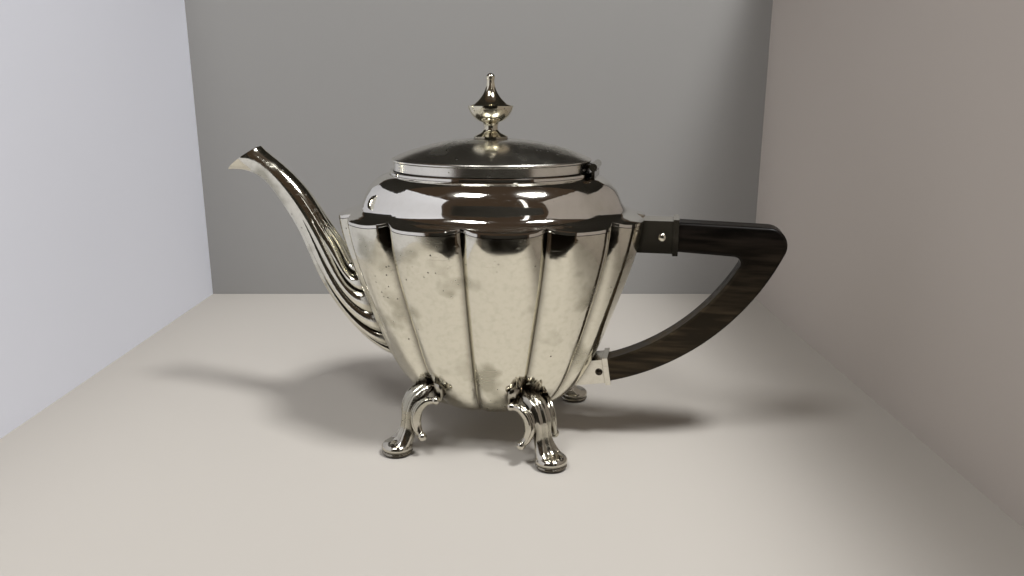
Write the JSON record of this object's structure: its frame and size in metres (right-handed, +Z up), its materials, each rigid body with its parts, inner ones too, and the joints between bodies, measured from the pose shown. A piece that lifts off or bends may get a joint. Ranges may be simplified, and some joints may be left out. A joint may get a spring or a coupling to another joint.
{
  "type": "teapot",
  "caption": "Lobed oval silver teapot with a hinged domed lid and urn finial, swan-neck spout, wooden D handle pinned in two sockets, and cast scroll feet.",
  "frame": {"origin": "on the floor under the middle of the pot's length and width", "axes": "+X towards the handle, -X towards the spout, +Y to the back, +Z up"},
  "size_m": [0.2588, 0.1132, 0.1654],
  "materials": {
    "silver": "polished silver, worn, with fine scratches",
    "wood": "dark stained hardwood, satin"
  },
  "bodies": {
    "pot": {"body_wall": "silver", "spout_strainer": "silver", "base_plate": "silver", "shoulder_neck": "silver", "neck_collar": "silver", "hinge_pot_leaf": "silver", "hinge_pin": "silver", "spout": "silver", "upper_socket": "silver", "upper_socket_flange": "silver", "upper_socket_pin": "silver", "lower_socket": "silver", "lower_socket_flange": "silver", "lower_socket_pin": "silver", "foot_back_right": "silver", "foot_back_left": "silver", "foot_front_right": "silver", "foot_front_left": "silver", "handle": "wood"},
    "lid": {"lid_band": "silver", "lid_flange": "silver", "lid_dome": "silver", "finial_disc": "silver", "finial_urn": "silver", "finial_nut": "silver", "hinge_lid_leaf": "silver"}
  },
  "joints": [
    {"name": "lid_hinge", "type": "hinge", "parent": "pot", "child": "lid", "pos_m": [0.047, 0, 0.1262], "axis": [0, 1, 0], "range_deg": [0, 105]}
  ]
}
